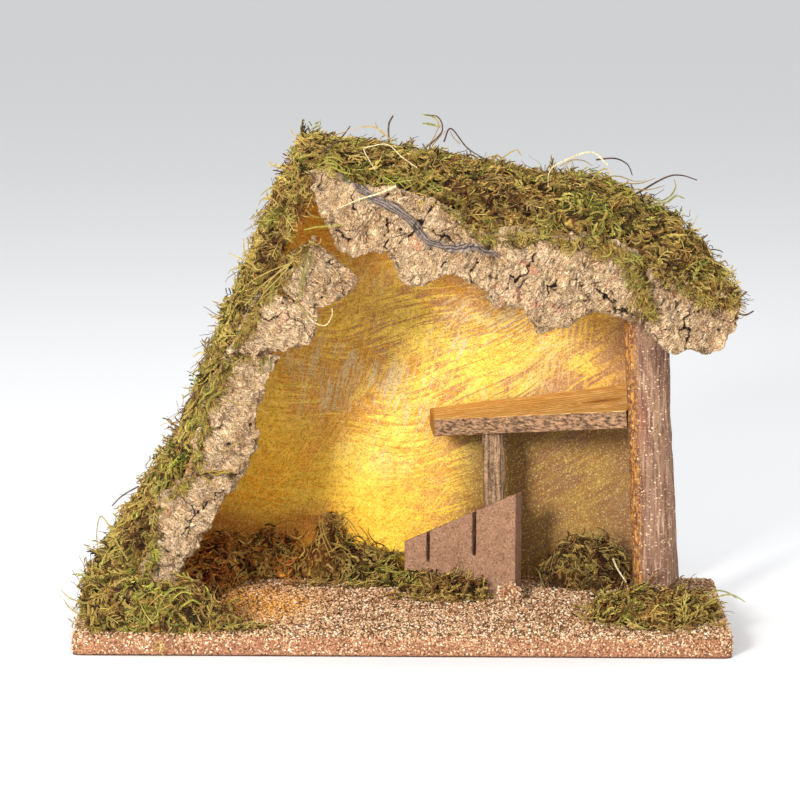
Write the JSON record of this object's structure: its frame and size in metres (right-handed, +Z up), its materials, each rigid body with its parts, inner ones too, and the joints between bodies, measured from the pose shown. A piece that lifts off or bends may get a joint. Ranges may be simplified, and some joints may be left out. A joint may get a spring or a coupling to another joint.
{
  "type": "nativity stable",
  "caption": "Open-fronted toy stable with sloping bark-edged roof, painted back wall, round post, small loft, slit fence and moss on a gritted base.",
  "frame": {"origin": "centre of the base's underside", "axes": "+Z up, +X to the right of someone who looks into the stable, the open front faces -Y"},
  "size_m": [0.3601, 0.1828, 0.2724],
  "materials": {
    "fibreboard": "matte",
    "grit": "matte",
    "painted_hardboard": "matte",
    "roof_board": "matte",
    "cork_bark": "matte",
    "post_bark": "matte",
    "loft_wood": "matte",
    "sawn_stick": "matte",
    "fence_board": "matte",
    "moss": "matte",
    "steel": "satin"
  },
  "bodies": {
    "root": {"base_board": "fibreboard", "ground_grit": "grit", "back_panel": "painted_hardboard", "left_roof_board": "roof_board", "right_roof_board": "roof_board", "round_post": "post_bark", "stall_post": "sawn_stick", "loft_board": "loft_wood", "stall_fence": "fence_board", "right_bark": "cork_bark", "eave_bark": "cork_bark", "left_bark_foot": "cork_bark", "left_bark_middle": "cork_bark", "left_bark_step": "cork_bark", "left_bark_top": "cork_bark", "side_moss_lower": "moss", "side_moss_middle": "moss", "side_moss_upper": "moss", "roof_moss_ridge": "moss", "roof_moss_middle": "moss", "roof_moss_right": "moss", "eave_moss": "moss", "side_moss_foot": "moss", "corner_moss": "moss", "wall_moss_left": "moss", "wall_moss_middle": "moss", "fence_moss": "moss", "fence_grit_heap": "grit", "stall_moss": "moss", "post_moss": "moss", "base_brad_1": "steel", "base_brad_2": "steel", "base_brad_3": "steel", "base_brad_4": "steel", "base_brad_5": "steel", "left_roof_brad_1": "steel", "left_roof_brad_2": "steel", "left_roof_brad_3": "steel", "right_roof_brad_1": "steel", "right_roof_brad_2": "steel", "right_roof_brad_3": "steel", "right_roof_brad_4": "steel", "loft_brad_1": "steel", "loft_brad_2": "steel", "round_post_screw": "steel", "stall_post_screw": "steel"}
  },
  "joints": []
}
